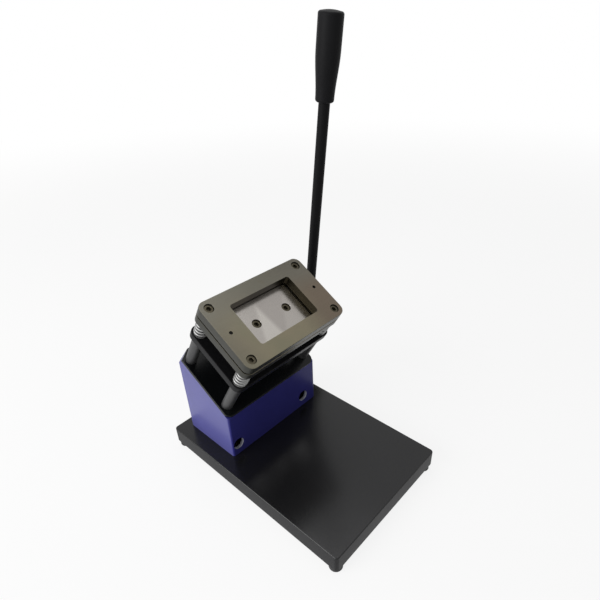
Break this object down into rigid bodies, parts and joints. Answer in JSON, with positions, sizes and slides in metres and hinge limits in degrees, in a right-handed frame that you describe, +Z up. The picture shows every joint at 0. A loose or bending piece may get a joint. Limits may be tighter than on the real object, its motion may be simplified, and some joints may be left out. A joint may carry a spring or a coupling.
{
  "type": "hand lever die cutter",
  "caption": "Desk machine whose side lever lifts a card-shaped punch on four posts through a slot into a slanted die plate, to cut cards from sheet.",
  "frame": {"origin": "at floor level, under the middle of the whole part's bounding box", "axes": "+Z up, +X to the lever's side, +Y to the back, away from the person who pulls the lever"},
  "size_m": [0.229, 0.273, 0.4742],
  "materials": {
    "base_coat": "black powder coat, satin",
    "housing_paint": "dark blue powder coat, satin",
    "deck_coat": "black, glossy",
    "foot_rubber": "black rubber",
    "screw_steel": "zinc plated",
    "black_screw": "black oxide",
    "block_iron": "machined, phosphated",
    "bearing_coat": "black, satin",
    "lever_coat": "black, satin",
    "grip_plastic": "moulded black plastic",
    "bush_bronze": "sintered bronze",
    "shaft_steel": "ground steel",
    "cam_steel": "hardened and ground",
    "die_steel": "surface ground tool steel",
    "punch_steel": "polished tool steel",
    "post_steel": "ground steel",
    "spring_steel": "plated spring steel"
  },
  "bodies": {
    "machine_frame": {"base_plate": "base_coat", "rubber_feet": "foot_rubber", "foot_screws": "screw_steel", "housing": "housing_paint", "housing_bolts": "black_screw", "deck_plate": "deck_coat", "deck_brackets": "block_iron", "deck_screws": "black_screw", "ram_bush": "bush_bronze", "bearing_block_left": "block_iron", "bearing_block_right": "block_iron", "shaft_bush_left": "bush_bronze", "shaft_bush_right": "bush_bronze", "block_screws": "black_screw", "outer_bearing": "bearing_coat", "outer_bush": "bush_bronze", "bearing_screws": "black_screw", "guide_plate": "die_steel", "rear_spacer": "die_steel", "front_washers": "die_steel", "die_plate": "die_steel", "die_screws": "black_screw", "dowel_pins": "shaft_steel", "guide_post_front_left": "post_steel", "guide_post_front_right": "post_steel", "guide_post_rear_left": "post_steel", "guide_post_rear_right": "post_steel", "spring_front_left": "spring_steel", "spring_front_right": "spring_steel", "spring_rear_left": "spring_steel", "spring_rear_right": "spring_steel"},
    "lever": {"cam_shaft": "shaft_steel", "cam": "cam_steel", "cam_key": "shaft_steel", "shaft_collars": "shaft_steel", "collar_screws": "black_screw", "lever_hub": "lever_coat", "hub_key": "shaft_steel", "hub_screw": "black_screw", "lever_rod": "lever_coat", "grip": "grip_plastic"},
    "punch_carriage": {"carrier_plate": "die_steel", "punch": "punch_steel", "punch_screws": "black_screw", "ram": "shaft_steel", "ram_screw": "black_screw", "carrier_bush_front_left": "bush_bronze", "carrier_bush_front_right": "bush_bronze", "carrier_bush_rear_left": "bush_bronze", "carrier_bush_rear_right": "bush_bronze"}
  },
  "joints": [
    {"name": "lever_swing", "type": "hinge", "parent": "machine_frame", "child": "lever", "pos_m": [0.1005, 0.09704, 0.08858], "axis": [1, 0, 0], "range_deg": [0, 80]},
    {"name": "carriage_lift", "type": "slide", "parent": "machine_frame", "child": "punch_carriage", "axis": [0, -0.518, 0.8554], "range_m": [0, 0.0055], "stiffness_N_per_m": 54000, "springref_m": -0.0038, "deforming": ["spring_front_left", "spring_front_right", "spring_rear_left", "spring_rear_right"]}
  ],
  "couplings": [
    {"joint": "carriage_lift", "follows": "lever_swing", "m_per_rad": 0.0039391}
  ]
}
